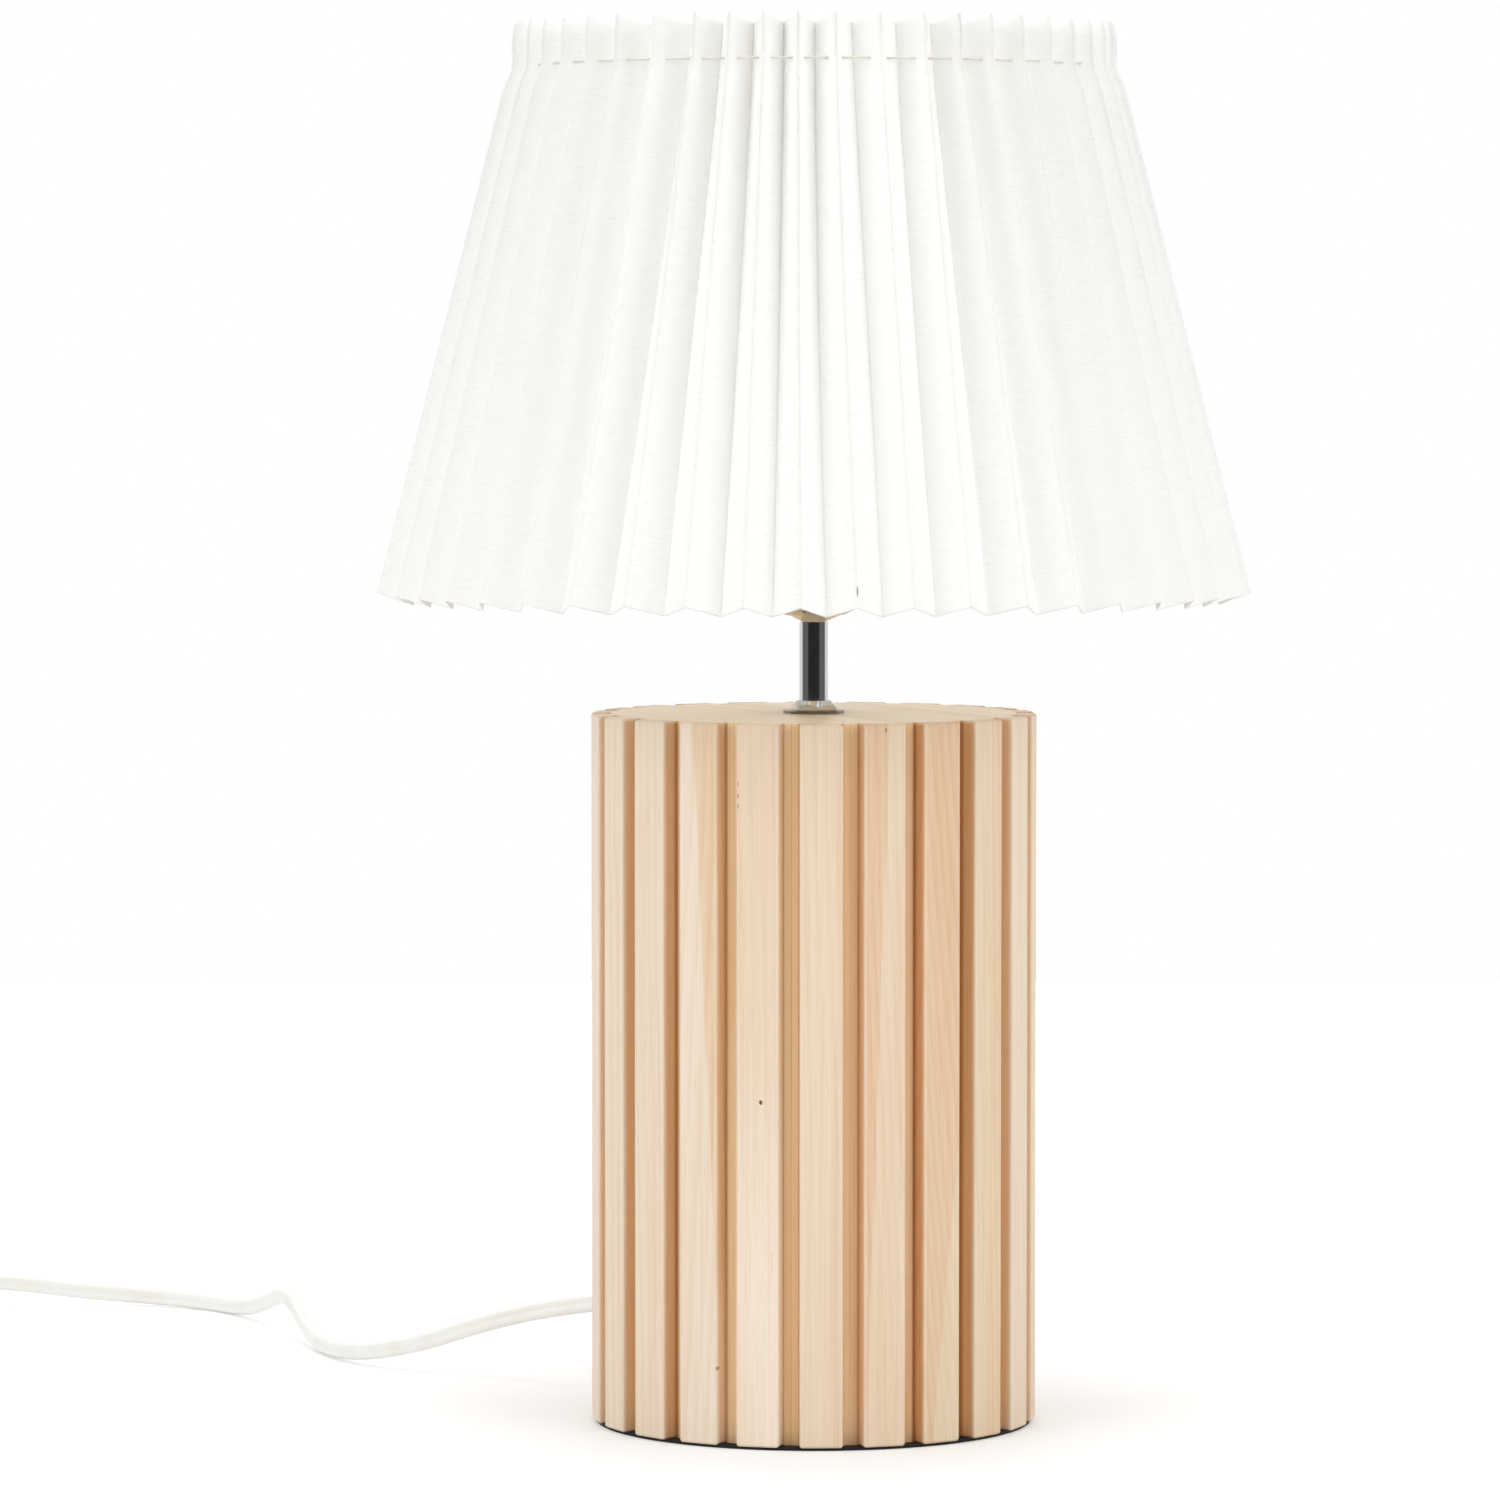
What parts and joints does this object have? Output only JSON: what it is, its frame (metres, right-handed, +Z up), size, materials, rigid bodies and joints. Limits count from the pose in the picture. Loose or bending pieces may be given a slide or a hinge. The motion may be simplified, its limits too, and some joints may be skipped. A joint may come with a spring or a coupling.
{
  "type": "table lamp",
  "caption": "table lamp with a drum base of upright wooden slats, a chrome stem and a white pleated shade, with a white twin cord, in-line switch and plug",
  "frame": {"origin": "under the middle of the foot pad, on the surface that the lamp stands on", "axes": "+Z up along the stem, the front of the picture looks along -Y, +X to the right"},
  "size_m": [0.604, 0.4512, 0.4811],
  "materials": {
    "slat_wood": "pale blond wood, planed and oiled, tone differs from slat to slat",
    "drum_wood": "orange-brown wood in the shade of the grooves",
    "disc_wood": "pale wood, sanded flat",
    "foot_rubber": "black foam rubber",
    "chrome": "polished chrome",
    "plain_steel": "zinc-plated",
    "holder_plastic": "white moulded",
    "holder_ceramic": "unglazed",
    "contact_brass": "plain",
    "bulb_opal": "opal",
    "bulb_metal": "rolled",
    "shade_fabric": "off-white, crisp pleats",
    "frame_white": "white powder coat",
    "bushing_plastic": "white nylon",
    "cord_white": "milky twin-core PVC",
    "switch_white": "white moulded",
    "strap_plastic": "white strap",
    "plug_white": "white moulded",
    "pin_nickel": "nickel plated"
  },
  "bodies": {
    "base": {"slat_01": "slat_wood", "slat_02": "slat_wood", "slat_03": "slat_wood", "slat_04": "slat_wood", "slat_05": "slat_wood", "slat_06": "slat_wood", "slat_07": "slat_wood", "slat_08": "slat_wood", "slat_09": "slat_wood", "slat_10": "slat_wood", "slat_11": "slat_wood", "slat_12": "slat_wood", "slat_13": "slat_wood", "slat_14": "slat_wood", "slat_15": "slat_wood", "slat_16": "slat_wood", "slat_17": "slat_wood", "slat_18": "slat_wood", "slat_19": "slat_wood", "slat_20": "slat_wood", "slat_21": "slat_wood", "slat_22": "slat_wood", "core_drum": "drum_wood", "top_disc": "disc_wood", "bottom_disc": "disc_wood", "foot_pad": "foot_rubber", "stem_tube": "chrome", "stem_washer": "chrome", "stem_nut": "chrome", "holder_cap": "chrome", "inner_washer": "plain_steel", "inner_nut": "plain_steel", "switch_screws": "plain_steel", "holder_skirt": "holder_plastic", "holder_insert": "holder_ceramic", "thread_shell": "contact_brass", "centre_contact": "contact_brass", "terminal_screws": "contact_brass", "cord_bushing": "bushing_plastic", "inner_cord": "cord_white", "cord_run": "cord_white", "cord_link": "cord_white", "cord_coil": "cord_white", "cord_tail": "cord_white", "switch_base": "switch_white", "switch_cover": "switch_white", "cord_tie": "strap_plastic", "plug_body": "plug_white", "plug_pins": "pin_nickel"},
    "shade": {"shade_fabric": "shade_fabric", "shade_bottom_ring": "frame_white", "shade_top_ring": "frame_white", "shade_ribs": "frame_white", "fitter_ring": "frame_white", "fitter_spokes": "frame_white"},
    "ring_nut": {"shade_ring_nut": "holder_plastic"},
    "bulb": {"bulb_globe": "bulb_opal", "bulb_cap": "bulb_metal", "bulb_contact": "contact_brass"},
    "rocker": {"switch_rocker": "switch_white"}
  },
  "joints": [
    {"name": "shade_turn", "type": "hinge", "parent": "base", "child": "shade", "pos_m": [0, 0, 0.3032], "axis": [0, 0, 1], "continuous": true},
    {"name": "ring_nut_up", "type": "slide", "parent": "base", "child": "ring_nut", "axis": [0, 0, 1], "range_m": [0, 0.012]},
    {"name": "bulb_out", "type": "slide", "parent": "base", "child": "bulb", "axis": [0, 0, 1], "range_m": [0, 0.024]},
    {"name": "switch_rock", "type": "hinge", "parent": "base", "child": "rocker", "pos_m": [-0.36082, 0.28502, 0.0153], "axis": [-0.1191, 0.9929, 0], "range_deg": [0, 16]}
  ]
}
